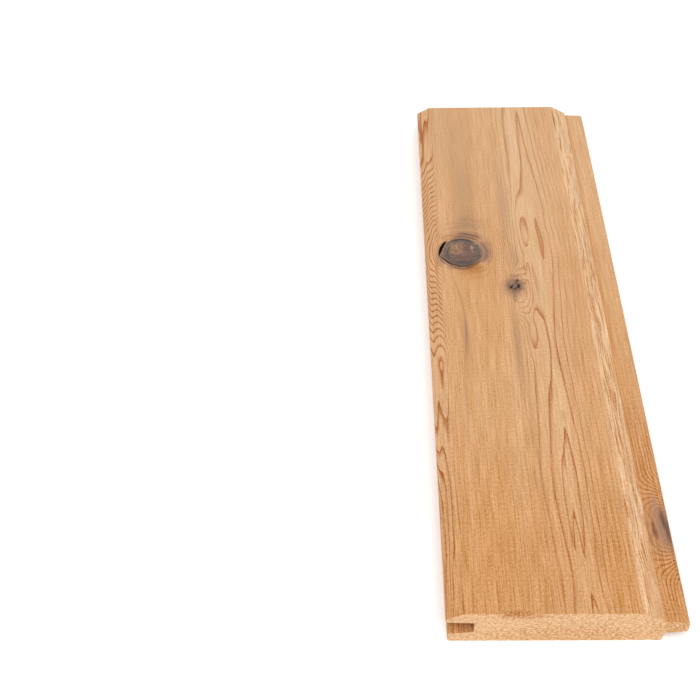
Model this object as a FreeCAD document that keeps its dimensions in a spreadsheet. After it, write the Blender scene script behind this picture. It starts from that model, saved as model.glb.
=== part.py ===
"""A tongue and groove board with a V joint: one length of nominal one by four cedar panelling.

The board lies on its back with its face up. X runs across it, from the groove to the tongue,
Y runs along the grain and Z up through its thickness. The origin is under its middle, on the back.
"""

import FreeCAD, Part
import Sketcher
import os

# Driving dimensions in millimetres: name, size and what it is on the board.
SIZES = [
    ("board_length", "317.5", "end to end, twelve and a half inches"),
    ("board_thickness", "17.4625", "back to face, eleven sixteenths of an inch"),
    ("face_width", "79.375", "lip to shoulder, what the board covers, three and an eighth inches"),
    ("groove_bevel_run", "6.2", "width of the bevel on the groove's side"),
    ("groove_bevel_drop", "3.6", "how far that bevel falls below the face"),
    ("tongue_bevel_run", "7.3", "width of the bevel on the tongue's side"),
    ("tongue_bevel_drop", "4.2", "how far that bevel falls below the face"),
    ("lip_nose", "1.65", "blunt edge of the upper lip, where the faces of two boards meet"),
    ("lower_shoulder_step", "0.8", "how far the shoulder under the tongue stands out past the upper one"),
    ("tongue_length", "9.525", "upper shoulder to nose, three eighths of an inch"),
    ("tongue_root", "7.3", "thickness of the tongue at the shoulder"),
    ("tongue_top_taper", "0.5", "how far the tongue's top falls from root to nose"),
    ("tongue_back_taper", "1.2", "how far the tongue's underside rises from root to nose"),
    ("joint_clearance", "0.2", "gap above the tongue, and below it, in the next board's groove"),
    ("end_clearance", "0.9", "gap past the tongue's nose in the next board's groove"),
    ("lower_lip_recess", "1.0", "set-back of the lower lip, which clears the next board's lower shoulder"),
    ("groove_arris_radius", "1.2", "eased edge between the face and the groove's bevel"),
    ("tongue_arris_radius", "5.0", "eased edge between the face and the tongue's bevel"),
    ("tongue_nose_radius", "1.4", "rounded corners of the tongue's nose"),
    ("back_corner_radius", "1.3", "rounded long edges of the back"),
    ("edge_ease", "0.3", "slight round on the lips and the shoulder"),
]

SHEET = "sizes"

doc = FreeCAD.newDocument("tongue_and_groove_board")

# The sheet of driving dimensions.
sheet = doc.addObject("Spreadsheet::Sheet", SHEET)
for row, (alias, size, meaning) in enumerate(SIZES, start=1):
    sheet.set("A%d" % row, alias)
    sheet.set("B%d" % row, size)
    sheet.setAlias("B%d" % row, alias)
    sheet.set("C%d" % row, meaning)
doc.recompute()


def origin_plane(body, role):
    """The body's own origin plane with that role."""
    return next(plane for plane in body.Origin.OriginFeatures if plane.Role == role)


def section_corners():
    """The section's corners in order, as (name, across, up), from the back's groove side round to the lower lip."""
    size = {alias: sheet.get(alias) for alias, _, _ in SIZES}
    lip = -(size["face_width"] + size["tongue_length"]) / 2
    shoulder = lip + size["face_width"]
    nose = shoulder + size["tongue_length"]
    groove_end = lip + size["tongue_length"] + size["end_clearance"]
    lower_lip = lip + size["lower_lip_recess"]
    lower_shoulder = shoulder + size["lower_shoulder_step"]
    face = size["board_thickness"]
    lip_top = face - size["groove_bevel_drop"]
    groove_top = lip_top - size["lip_nose"]
    tongue_top = groove_top - size["joint_clearance"]
    tongue_back = tongue_top - size["tongue_root"]
    groove_back = tongue_back - size["joint_clearance"]
    return [
        ("back_groove_side", lower_lip, 0),
        ("back_tongue_side", lower_shoulder, 0),
        ("tongue_root_low", lower_shoulder, tongue_back),
        ("tongue_nose_low", nose, tongue_back + size["tongue_back_taper"]),
        ("tongue_nose_high", nose, tongue_top - size["tongue_top_taper"]),
        ("tongue_root_high", shoulder, tongue_top),
        ("shoulder_arris", shoulder, face - size["tongue_bevel_drop"]),
        ("tongue_arris", shoulder - size["tongue_bevel_run"], face),
        ("groove_arris", lip + size["groove_bevel_run"], face),
        ("lip_high", lip, lip_top),
        ("lip_low", lip, groove_top),
        ("groove_end_high", groove_end, groove_top - size["tongue_top_taper"]),
        ("groove_end_low", groove_end, groove_back + size["tongue_back_taper"]),
        ("lower_lip", lower_lip, groove_back),
    ]


def draw_section(body):
    """The board's section on the upright plane across the grain, every size tied to the sheet."""
    sketch = body.newObject("Sketcher::SketchObject", "section")
    sketch.AttachmentSupport = [(origin_plane(body, "XZ_Plane"), "")]
    sketch.MapMode = "FlatFace"

    # One line from each corner to the next, named by the corner it starts at.
    corners = section_corners()
    line = {}
    for (name, x, z), (_, next_x, next_z) in zip(corners, corners[1:] + corners[:1]):
        start, end = FreeCAD.Vector(x, z, 0), FreeCAD.Vector(next_x, next_z, 0)
        line[name] = sketch.addGeometry(Part.LineSegment(start, end), False)
    order = [name for name, _, _ in corners]
    for name, following in zip(order, order[1:] + order[:1]):
        sketch.addConstraint(Sketcher.Constraint("Coincident", line[name], 2, line[following], 1))

    for name in ("back_groove_side", "tongue_arris"):
        sketch.addConstraint(Sketcher.Constraint("Horizontal", line[name]))
    for name in ("back_tongue_side", "tongue_nose_low", "tongue_root_high", "lip_high", "groove_end_high", "lower_lip"):
        sketch.addConstraint(Sketcher.Constraint("Vertical", line[name]))
    # The groove's walls follow the tongue's taper.
    sketch.addConstraint(Sketcher.Constraint("Parallel", line["lip_low"], line["tongue_nose_high"]))
    sketch.addConstraint(Sketcher.Constraint("Parallel", line["groove_end_low"], line["tongue_root_low"]))
    sketch.addConstraint(Sketcher.Constraint("PointOnObject", line["back_groove_side"], 1, -1))

    place = {name: FreeCAD.Vector(x, z, 0) for name, x, z in corners}

    def tie(name, kind, first, second, formula):
        """A named distance from one corner to another, or to the origin, set by a formula on the sheet."""
        end = (line[second], 1) if second else (-1, 1)
        span = (place[second] if second else FreeCAD.Vector()) - place[first]
        as_drawn = span.x if kind == "DistanceX" else span.y
        sketch.addConstraint(Sketcher.Constraint(kind, line[first], 1, end[0], end[1], as_drawn))
        sketch.renameConstraint(sketch.ConstraintCount - 1, name)
        sketch.setExpression("Constraints." + name, formula.format(s=SHEET))

    tie("half_width", "DistanceX", "lip_high", None, "({s}.face_width + {s}.tongue_length) / 2")
    tie("cover", "DistanceX", "lip_high", "shoulder_arris", "{s}.face_width")
    tie("thick", "DistanceY", "back_tongue_side", "tongue_arris", "{s}.board_thickness")
    tie("tongue_bevel", "DistanceX", "tongue_arris", "shoulder_arris", "{s}.tongue_bevel_run")
    tie("tongue_drop", "DistanceY", "shoulder_arris", "tongue_arris", "{s}.tongue_bevel_drop")
    tie("groove_bevel", "DistanceX", "lip_high", "groove_arris", "{s}.groove_bevel_run")
    tie("groove_drop", "DistanceY", "lip_high", "groove_arris", "{s}.groove_bevel_drop")
    tie("nose_of_lip", "DistanceY", "lip_low", "lip_high", "{s}.lip_nose")
    tie("gap_above", "DistanceY", "tongue_root_high", "lip_low", "{s}.joint_clearance")
    tie("root", "DistanceY", "tongue_root_low", "tongue_root_high", "{s}.tongue_root")
    tie("step", "DistanceX", "tongue_root_high", "tongue_root_low", "{s}.lower_shoulder_step")
    tie("reach", "DistanceX", "tongue_root_high", "tongue_nose_high", "{s}.tongue_length")
    tie("top_taper", "DistanceY", "tongue_nose_high", "tongue_root_high", "{s}.tongue_top_taper")
    tie("back_taper", "DistanceY", "tongue_root_low", "tongue_nose_low", "{s}.tongue_back_taper")
    tie("groove_depth", "DistanceX", "lip_low", "groove_end_high", "{s}.tongue_length + {s}.end_clearance")
    tie("recess", "DistanceX", "lip_low", "lower_lip", "{s}.lower_lip_recess")
    # The gap below is kept all along the taper, so the lower lip starts a little further up it than the shoulder.
    rise = "{s}.tongue_back_taper / ({s}.tongue_length - {s}.lower_shoulder_step)"
    gap = "{s}.joint_clearance - ({s}.lower_lip_recess - {s}.lower_shoulder_step) * " + rise
    tie("gap_below", "DistanceY", "lower_lip", "tongue_root_low", gap)
    doc.recompute()
    return sketch, line


def corner_edges(shape, sketch, line, names):
    """The names of the shape's long edges that stand on those corners of the section."""
    found = []
    for name in names:
        corner = sketch.Geometry[line[name]].StartPoint
        for number, edge in enumerate(shape.Edges, start=1):
            ends = [vertex.Point for vertex in edge.Vertexes]
            on_corner = [abs(p.x - corner.x) < 1e-6 and abs(p.z - corner.y) < 1e-6 for p in ends]
            if len(ends) == 2 and all(on_corner):
                found.append("Edge%d" % number)
    return found


def round_corners(body, label, names, radius):
    """Rounds the long edges on those corners of the section, to a radius on the sheet."""
    base = body.Tip
    fillet = body.newObject("PartDesign::Fillet", label)
    fillet.Base = (base, corner_edges(base.Shape, sketch, line, names))
    fillet.setExpression("Radius", radius.format(s=SHEET))
    doc.recompute()


# The board: its section, run along the grain, with its edges eased as the moulder leaves them.
board = doc.addObject("PartDesign::Body", "Board")
board.Label = "cedar_board"
sketch, line = draw_section(board)

stock = board.newObject("PartDesign::Pad", "stock")
stock.Profile = sketch
stock.SideType = "Symmetric"
stock.setExpression("Length", SHEET + ".board_length")
doc.recompute()

round_corners(board, "ease_tongue_arris", ["tongue_arris"], "{s}.tongue_arris_radius")
round_corners(board, "ease_groove_arris", ["groove_arris"], "{s}.groove_arris_radius")
round_corners(board, "round_tongue_nose", ["tongue_nose_low", "tongue_nose_high"], "{s}.tongue_nose_radius")
round_corners(board, "round_back", ["back_groove_side", "back_tongue_side"], "{s}.back_corner_radius")
round_corners(board, "ease_lips", ["lip_high", "lip_low", "lower_lip", "shoulder_arris"], "{s}.edge_ease")

# Nothing is written unless every object recomputed and the board is one sound solid.
for item in doc.Objects:
    if "Invalid" in item.State or "Error" in item.State:
        raise RuntimeError("%s did not recompute: %s" % (item.Label, item.State))
shape = board.Shape
if shape.isNull() or not shape.isValid() or len(shape.Solids) != 1:
    raise RuntimeError("the board is not one valid solid")

os.makedirs("parts", exist_ok=True)
shape.exportStep("parts/%s.step" % board.Label)

box = shape.BoundBox
print("%s: %.2f x %.2f x %.2f mm, %.1f cm3" % (board.Label, box.XLength, box.YLength, box.ZLength, shape.Volume / 1000))
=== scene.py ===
# %% [markdown]
# A tongue and groove board of knotty western red cedar, lying on its back with its face up.
# The CAD model gives the exact section. This lesson cuts the small faults of real timber into a
# copy of that solid, and grows a solid wood pattern through it, so that the grain runs on over
# the face, the bevels, the tongue, the back and the ends as it does in a sawn log.

import math

import bpy
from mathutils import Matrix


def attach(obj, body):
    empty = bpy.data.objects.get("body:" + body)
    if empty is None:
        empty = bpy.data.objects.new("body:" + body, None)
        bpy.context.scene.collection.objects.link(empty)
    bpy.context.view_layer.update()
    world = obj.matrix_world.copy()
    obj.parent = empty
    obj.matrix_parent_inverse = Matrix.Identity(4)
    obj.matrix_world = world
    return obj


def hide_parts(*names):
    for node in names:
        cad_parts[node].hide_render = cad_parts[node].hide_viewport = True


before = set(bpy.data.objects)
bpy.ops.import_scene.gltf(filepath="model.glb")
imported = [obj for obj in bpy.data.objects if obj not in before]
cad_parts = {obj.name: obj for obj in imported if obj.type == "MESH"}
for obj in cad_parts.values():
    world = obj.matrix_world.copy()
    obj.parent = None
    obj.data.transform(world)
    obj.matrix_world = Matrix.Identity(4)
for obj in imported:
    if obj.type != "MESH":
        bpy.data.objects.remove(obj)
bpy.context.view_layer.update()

# %% [markdown]
# The camera looks down on the board from the near end, a little to its left, as in the photograph.
# Its place, its turn and its lens come from lining up the board's corners with the picture's. It
# could be set by eye, but on a long straight board the least error shows at the far end.

# %% Camera
CAMERA_PLACE = (-0.0723, -0.4094, 0.4069)
CAMERA_TURN = (44.689, 0.816, 0.289)

bpy.ops.object.camera_add(location=CAMERA_PLACE, rotation=[math.radians(a) for a in CAMERA_TURN])
camera = bpy.context.object
camera.name = "camera"
camera.data.lens = 64.62
camera.data.sensor_width = 36.0
camera.data.clip_start = 0.01
bpy.context.scene.camera = camera
print("camera at", CAMERA_PLACE, "with a lens of", camera.data.lens, "mm")

# %% [markdown]
# Each colour is written as the hex value that the eye sees on a screen. Blender works in linear
# light, so one function turns the hex value to linear numbers. Writing linear numbers by hand would
# do as well, but nobody can tell a colour from them.


# %% Colours
def colour(hex_value):
    """A screen colour such as D9A873 as linear red, green, blue and alpha."""
    parts = [int(hex_value[i : i + 2], 16) / 255 for i in (0, 2, 4)]
    linear = [p / 12.92 if p <= 0.04045 else ((p + 0.055) / 1.055) ** 2.4 for p in parts]
    return (*linear, 1.0)


print("pale cedar in linear light:", [round(v, 3) for v in colour("E2B98F")])

# %% [markdown]
# Every material is a tree of nodes. One small function adds a node: it sets the node's own
# settings, and fills its inputs in order with a link or a plain value. Each link could be made by
# hand, but a tree as large as this one would then be four times as long to read.


# %% One node at a time
def add(tree, kind, *inputs, **settings):
    """Adds one node and gives its first output. An input is a socket to link, a value, or None to skip it."""
    node = tree.nodes.new("ShaderNode" + kind)
    for name, value in settings.items():
        setattr(node, name, value)
    for socket, value in zip([s for s in node.inputs if s.enabled], inputs):
        if isinstance(value, bpy.types.NodeSocket):
            tree.links.new(value, socket)
        elif value is not None:
            socket.default_value = value
    return next((s for s in node.outputs if s.enabled), None)


def new_material(name):
    """An empty material and its node tree."""
    material = bpy.data.materials.new(name)
    material.use_nodes = True
    material.node_tree.nodes.clear()
    return material, material.node_tree


kinds = [kind for kind in dir(bpy.types) if kind.startswith("ShaderNode")]
print("a node can be one of", len(kinds), "kinds")

# %% [markdown]
# A white ground could be had by pouring more light on it, but that light would bounce onto the board
# and wash out its colours. Here the ground is made white only for rays that come from the eye, from a
# reflection or through clear material. One function tells those rays from the ones that carry light.


# %% What a ray is for
def seen_directly(tree):
    """One where a ray comes from the eye, a reflection or clear material, and none where it carries light."""
    rays = add(tree, "LightPath").node.outputs
    seen = add(tree, "Math", rays["Is Camera Ray"], rays["Is Glossy Ray"], operation="MAXIMUM")
    return add(tree, "Math", seen, rays["Is Transmission Ray"], operation="MAXIMUM")


print("made a test for rays that come from the eye, a reflection or clear material")

# %% [markdown]
# The board lies in a plain white studio. The floor is a large white sheet that takes the board's
# shadow. Away from the lamp it would turn grey, so there it glows for the eye and for reflections, and
# the glow puts no light on the board. A curved backdrop would hide the horizon too, but a white floor
# against a white world has none. From below, the floor is clear, and it lets light through to the
# board's back where the two touch.

# %% Floor
# All in metres. A ray shorter than TOUCHING goes between the board's back and the floor under it.
FLOOR_SIZE = 6.0
TOUCHING = 0.001
GLOW_STARTS = 0.15
GLOW_FULL = 2.4
# The glow's strength near the board, and far out.
GLOW_NEAR = 0.12
GLOW_FAR = 0.62
bpy.ops.object.select_all(action="DESELECT")
bpy.ops.mesh.primitive_plane_add(size=FLOOR_SIZE, location=(0, 0, 0))
floor = bpy.context.object
floor.name = "studio_floor"
floor_paper, tree = new_material("white studio paper")
paper = add(tree, "BsdfDiffuse", colour("FFFFFF"))
far_out = add(tree, "TexCoord").node.outputs["Object"]
far_out = add(tree, "VectorMath", far_out, operation="LENGTH")
lift = add(
    tree, "MapRange", far_out, GLOW_STARTS, GLOW_FULL, GLOW_NEAR, GLOW_FAR, interpolation_type="SMOOTHSTEP"
)
lift = add(tree, "Math", lift, seen_directly(tree), operation="MULTIPLY")
glow = add(tree, "Emission", colour("FFFFFF"), lift)
sheet = add(tree, "AddShader", paper, glow)
clear = add(tree, "BsdfTransparent")
from_below = add(tree, "NewGeometry").node.outputs["Backfacing"]
touching = add(tree, "LightPath").node.outputs["Ray Length"]
touching = add(tree, "Math", touching, TOUCHING, operation="LESS_THAN")
see_through = add(tree, "Math", from_below, touching, operation="MAXIMUM")
add(tree, "OutputMaterial", add(tree, "MixShader", see_through, sheet, clear))
floor.data.materials.append(floor_paper)
print("floor laid,", FLOOR_SIZE, "m square")

# %% [markdown]
# The world is an even white light, brighter from below, where it stands in for the light that a floor
# throws back. A wide lamp high up in front gives the light a direction, so that the bevels and the
# end differ from the face. A small lamp would do that too, but with a hard shadow.

# %% World and lamp
LIGHT_FROM_ABOVE = 0.5
LIGHT_FROM_BELOW = 0.9
LAMP_PLACE = (-0.2, -1.5, 2.7)
LAMP_TURN = (29, -4, 0)
world = bpy.data.worlds.new("studio")
bpy.context.scene.world = world
world.use_nodes = True
world.node_tree.nodes.clear()
tree = world.node_tree
height = add(tree, "TexCoord").node.outputs["Generated"]
height = add(tree, "SeparateXYZ", height).node.outputs[2]
light = add(tree, "MapRange", height, -0.05, 0.0, LIGHT_FROM_BELOW, LIGHT_FROM_ABOVE)
strength = add(tree, "MapRange", seen_directly(tree), 0.0, 1.0, light, 1.0)
add(tree, "OutputWorld", add(tree, "Background", colour("FFFFFF"), strength))

bpy.ops.object.light_add(type="AREA", location=LAMP_PLACE)
lamp = bpy.context.object
lamp.name = "wide_lamp"
lamp.data.shape = "DISK"
lamp.data.size = 2.2
lamp.data.energy = 66.0
lamp.rotation_euler = [math.radians(a) for a in LAMP_TURN]
bpy.context.scene.view_settings.view_transform = "Standard"
print("even light, and one lamp of", lamp.data.energy, "W at", LAMP_PLACE)

# %% [markdown]
# The board itself starts as a copy of the CAD solid, because a moulder's section has to be exact.
# Drawing the section again from its sizes would do as well, but could drift from the CAD. The copy is
# loose triangles, so its points are merged and its flat triangles joined into faces.

# %% Copy the moulded section
MM = 0.001
HALF_LENGTH = 158.75
HALF_WIDTH = 44.45
THICKNESS = 17.4625
bpy.ops.object.select_all(action="DESELECT")
board = bpy.data.objects.new("planed_board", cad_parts["cedar_board"].data.copy())
bpy.context.scene.collection.objects.link(board)
bpy.context.view_layer.objects.active = board
board.select_set(True)
bpy.ops.mesh.customdata_custom_splitnormals_clear()
bpy.ops.object.mode_set(mode="EDIT")
bpy.ops.mesh.select_all(action="SELECT")
bpy.ops.mesh.remove_doubles(threshold=0.002 * MM)
bpy.ops.mesh.dissolve_limited(angle_limit=math.radians(0.5))
bpy.ops.mesh.select_all(action="DESELECT")
bpy.ops.object.mode_set(mode="OBJECT")
print("board copied with", len(board.data.polygons), "faces")

# %% [markdown]
# A saw leaves sharp edges round both ends, and they wear off at once. A bevel along those edges would
# run into itself at the groove's corners. So each end face is drawn in a little, then inset and pushed
# out again, which leaves a narrow slope all round it.

# %% Wear the edges of the sawn ends
WEAR = 0.2
bpy.context.tool_settings.mesh_select_mode = (False, False, True)
for face in board.data.polygons:
    face.select = abs(face.normal.y) > 0.99
bpy.ops.object.mode_set(mode="EDIT")
bpy.ops.transform.resize(value=(1, 1 - WEAR / HALF_LENGTH, 1), center_override=(0, 0, 0))
bpy.ops.mesh.inset(thickness=WEAR * MM, depth=WEAR * MM)
bpy.ops.object.mode_set(mode="OBJECT")
print("ends worn, with", len(board.data.polygons), "faces now")

# %% [markdown]
# Places on the board are read off as a joiner would measure them: across from the lip of the
# groove, and along from the far end. One function turns these to the model's own place. The model's
# metres would do as well, but nobody can find such a place on a real board with a rule.


# %% Measure from the lip and the far end
def spot(across, along, up=THICKNESS):
    """A place on the board in metres, from millimetres across from the lip and along from the far end."""
    return ((across - HALF_WIDTH) * MM, (HALF_LENGTH - along) * MM, up * MM)


print("the large knot's middle is at", [round(v, 4) for v in spot(17.0, 118.7)])

# %% [markdown]
# A dead knot shrinks away from the timber round it and leaves a dark gap. Shakes and checks are
# long thin splits that close to a point at both ends, and a blunt cutter tears out shallow gouges of
# the same form. All are one kind of cutter: a circle whose two halves are pushed to different
# widths, which gives a crescent or a lens, drawn down into the wood and narrowed at its foot. Each
# could be drawn point by point, but a rule for all of them is quicker to set against the photograph.


# %% A curved split
# How far a cutter stands out of the wood, and the size of its foot as a share of its mouth.
ABOVE_WOOD = 0.3
FOOT = (0.55, 0.9, 1.0)


def split(name, place, half_length, left, right, turn, depth, lean=0.0):
    """A closed cutter, lens or crescent from above: its sides stand left and right of its middle line."""
    bpy.ops.object.select_all(action="DESELECT")
    radius = half_length * MM
    bpy.ops.mesh.primitive_circle_add(vertices=24, radius=radius, fill_type="NGON", location=(0, 0, 0))
    cutter = bpy.context.object
    cutter.name = name
    for point in cutter.data.vertices:
        width = right if point.co.x > 0 else left
        point.co.x *= width / half_length
        point.co.z = ABOVE_WOOD * MM
    bpy.ops.object.mode_set(mode="EDIT")
    bpy.ops.mesh.select_all(action="SELECT")
    bpy.ops.mesh.extrude_region_move(TRANSFORM_OT_translate={"value": (0, 0, -(depth + ABOVE_WOOD) * MM)})
    bpy.ops.transform.resize(value=FOOT)
    bpy.ops.mesh.select_all(action="SELECT")
    bpy.ops.mesh.normals_make_consistent(inside=False)
    bpy.ops.object.mode_set(mode="OBJECT")
    cutter.rotation_euler = (0, math.radians(lean), math.radians(turn))
    cutter.location = place
    bpy.ops.object.transform_apply(location=True, rotation=True, scale=True)
    return cutter


print("a split's foot is", FOOT[0], "times as wide as its mouth")

# %% [markdown]
# A corner that is knocked or caught by the saw loses a small rounded chip. A ball with flat facets,
# squeezed to the chip's size and set on the edge, leaves just that. The cutters of each kind are
# joined, so that one Boolean takes them all out of the board.


# %% Chips, and taking cutters out
def chip(name, place, half_size):
    """A closed cutter for a chip: a faceted ball with its own half size in each direction."""
    bpy.ops.object.select_all(action="DESELECT")
    bpy.ops.mesh.primitive_ico_sphere_add(subdivisions=2, radius=MM, location=place, scale=half_size)
    cutter = bpy.context.object
    cutter.name = name
    bpy.ops.object.transform_apply(location=True, rotation=True, scale=True)
    return cutter


def take_out(cutters):
    """Joins the cutters, cuts them out of the board and removes them."""
    bpy.ops.object.select_all(action="DESELECT")
    for cutter in cutters:
        cutter.select_set(True)
    bpy.context.view_layer.objects.active = cutters[0]
    if len(cutters) > 1:
        bpy.ops.object.join()
    bpy.ops.object.select_all(action="DESELECT")
    bpy.context.view_layer.objects.active = board
    board.select_set(True)
    cut = board.modifiers.new("cut", "BOOLEAN")
    cut.operation = "DIFFERENCE"
    cut.solver = "EXACT"
    cut.use_self = True
    cut.object = cutters[0]
    bpy.ops.object.modifier_apply(modifier=cut.name)
    bpy.data.objects.remove(cutters[0], do_unlink=True)
    print("cut", len(cutters), "places out, board has", len(board.data.polygons), "faces")


# %% [markdown]
# The large knot has come away from the timber on its left, and a thinner gap runs on below it. The
# small knot has a pit and a crack, and two checks have opened along the arris by the tongue. A dark
# line could be painted instead, but it would lie flat from every other side, so they are cut.

# %% The gaps and checks
# Each: name, place, half length, how far its sides stand left and right, turn and depth.
take_out(
    [
        split("gap_left_of_knot", spot(8.75, 115.8), 5.8, 2.15, -0.5, -19.6, 2.4),
        split("gap_below_knot", spot(9.75, 124.4), 4.6, 0.8, -0.1, 40, 1.6),
        split("pit_in_small_knot", spot(41.8, 142.3), 1.3, 0.4, 0.4, -12, 0.7),
        split("crack_in_small_knot", spot(38.7, 143.0), 1.1, 0.45, 0.3, -50, 0.6),
        split("check_on_far_edge", spot(71.9, 13.5), 10.5, 0.22, 0.25, 2.2, 0.7),
        split("check_on_long_edge", spot(72.7, 128), 3.2, 0.12, 0.14, 0, 0.5),
    ]
)

# %% [markdown]
# On the bevel by the tongue the cutter met the grain the wrong way and lifted fibres out, which left
# shallow gouges along the grain. Bump in the material would be lost in the exported mesh, so the
# larger ones are cut, each leaning with the bevel's slope.

# %% Torn gouges on the bevel by the tongue
# The bevel's top edge across from the lip, its fall for each millimetre across, and the gouges' depth.
BEVEL_TOP = 72.075
BEVEL_SLOPE = 4.2 / 7.3
GOUGE_DEPTH = 0.22
# Place across and along, half length and half width in millimetres.
GOUGES = (
    (73.6, 30, 9, 0.25), (75.4, 47, 12, 0.3), (74.4, 66, 10, 0.28), (76.6, 82, 9, 0.25),
    (73.9, 98, 14, 0.3), (76.4, 116, 10, 0.25), (74.8, 140, 12, 0.32), (77.2, 158, 9, 0.25),
    (75.6, 173, 13, 0.28), (73.8, 196, 10, 0.25), (76.8, 206, 9, 0.3), (74.9, 236, 14, 0.32),
    (77.0, 252, 8, 0.25), (73.8, 264, 10, 0.25), (76.1, 282, 12, 0.3), (74.8, 303, 9, 0.25),
)
gouges = []
for gouge_across, gouge_along, half_length, half_width in GOUGES:
    up = THICKNESS - (gouge_across - BEVEL_TOP) * BEVEL_SLOPE
    here = spot(gouge_across, gouge_along, up)
    lean = math.degrees(math.atan(BEVEL_SLOPE))
    gouges.append(split("gouge", here, half_length, half_width, half_width, 0, GOUGE_DEPTH, lean))
take_out(gouges)

# %% [markdown]
# The saw splintered the edges where it came out of the wood: along the back edge of both ends, and in
# a row of small bites on the near top edge. The tongue's nose has lost two chips by its knot. Edges
# could be sculpted, but that takes far more faces than these few cuts.

# %% Chips on the edges
# Place across, along and up, and half sizes across, along and up, in millimetres.
CHIPS = (
    (89.4, 284.6, 9.8, 0.9, 1.7, 1.5),
    (89.3, 270.2, 10.4, 0.7, 1.0, 1.2),
    (20.4, 317.5, 17.5, 0.6, 0.45, 0.4),
    (22.0, 317.5, 17.5, 0.8, 0.6, 0.45),
    (23.9, 317.5, 17.5, 0.6, 0.4, 0.35),
    (25.6, 317.5, 17.5, 0.9, 0.7, 0.5),
    (27.8, 317.5, 17.5, 0.7, 0.5, 0.4),
    (29.6, 317.5, 17.5, 0.8, 0.55, 0.45),
    (31.0, 317.5, 17.5, 0.5, 0.4, 0.3),
    (9.0, 317.5, -0.1, 1.6, 0.4, 0.4),
    (16.5, 317.5, -0.1, 2.2, 0.5, 0.45),
    (24.0, 317.5, -0.1, 1.2, 0.4, 0.5),
    (33.5, 317.5, -0.1, 2.6, 0.5, 0.4),
    (42.0, 317.5, -0.1, 1.4, 0.4, 0.5),
    (51.0, 317.5, -0.1, 2.0, 0.6, 0.55),
    (60.5, 317.5, -0.1, 1.6, 0.5, 0.45),
    (68.0, 317.5, -0.1, 2.4, 0.6, 0.6),
    (75.0, 317.5, -0.1, 1.8, 0.6, 0.8),
    (80.4, 317.5, 2.2, 0.7, 0.6, 1.2),
    (83.5, 317.5, 4.8, 1.3, 0.5, 0.6),
    (87.4, 317.5, 5.6, 0.9, 0.5, 0.5),
    (14.0, 0.0, -0.1, 2.0, 0.5, 0.5),
    (37.0, 0.0, -0.1, 2.6, 0.5, 0.45),
    (58.0, 0.0, -0.1, 1.8, 0.6, 0.55),
    (72.0, 0.0, -0.1, 2.2, 0.5, 0.5),
)
take_out([chip("chip", spot(*row[:3]), row[3:]) for row in CHIPS])

# %% [markdown]
# The finished board gets smooth shading over its rounded edges and sharp edges elsewhere. A
# weighted normal lets the large flats keep their own direction, so no shade creeps onto them. Flat
# shading alone would be safer, but it would show the facets of every rounded edge.

# %% Shade the board
bpy.ops.object.select_all(action="DESELECT")
bpy.context.view_layer.objects.active = board
board.select_set(True)
bpy.ops.object.shade_smooth_by_angle(angle=math.radians(32))
weigh = board.modifiers.new("weigh", "WEIGHTED_NORMAL")
weigh.keep_sharp = True
weigh.weight = 100
bpy.ops.object.modifier_apply(modifier=weigh.name)
print("board finished with", len(board.data.polygons), "faces")

# %% [markdown]
# Cedar is drawn as a solid: the pattern is a field of growth rings in space, and every surface
# shows where it cuts them. All of it works in millimetres across from the lip, along from the far
# end, and down from the face. Slow noise lets the grain wander as it does in a living tree. A flat
# pattern wrapped round the board would be easier, but its lines would break at every edge.

# %% Wood by the millimetre
# From the model's metres to millimetres, and from its origin to the lip, the far end and the face.
# The pattern's zero lies a hair under the face.
PATTERN_ZERO = 17.46
TO_MILLIMETRES = (1000, -1000, 1000)
TO_LIP_AND_FACE = (HALF_WIDTH, HALF_LENGTH, -PATTERN_ZERO)
# Waves to a millimetre across, along and down: one is 25 mm wide and 56 long, the other 9 mm and 14.
SLOW_WANDER = (0.04, 0.018, 0.04)
QUICK_WANDER = (0.11, 0.07, 0.11)
wood, tree = new_material("planed western red cedar")
place = add(tree, "TexCoord").node.outputs["Object"]
place = add(tree, "VectorMath", place, TO_MILLIMETRES, TO_LIP_AND_FACE, operation="MULTIPLY_ADD")
across, along, depth = add(tree, "SeparateXYZ", place).node.outputs

slow = add(tree, "VectorMath", place, SLOW_WANDER, operation="MULTIPLY")
slow = add(tree, "TexNoise", slow, 1.0, 1.0)
quick = add(tree, "VectorMath", place, QUICK_WANDER, operation="MULTIPLY")
quick = add(tree, "TexNoise", quick, 1.0, 1.0)
drift = add(tree, "Math", slow, 1.4, -1.05, operation="MULTIPLY_ADD")
drift = add(tree, "Math", quick, 0.7, drift, operation="MULTIPLY_ADD")
flow = add(tree, "Math", across, drift, operation="ADD")
print("wood measured in millimetres, with", len(tree.nodes), "nodes so far")

# %% [markdown]
# Three branches grew through this wood. The grain parts round a knot as water parts round a pier,
# so near each one the pattern is pushed sideways. Each branch leans as it goes down, so its knot
# comes out of the back at another place. Lines could be drawn round each knot, but on the face alone.

# %% The grain parts round the knots
# Name, place across and along, how far the push reaches, how much it is drawn out along, and the lean.
BRANCHES = {
    "large": (17.0, 118.7, 10.5, 1.25, -0.35),
    "small": (39.8, 142.4, 3.0, 1.4, -0.13),
    "tongue": (88.3, 275.5, 5.0, 1.3, 0.35),
}
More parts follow.
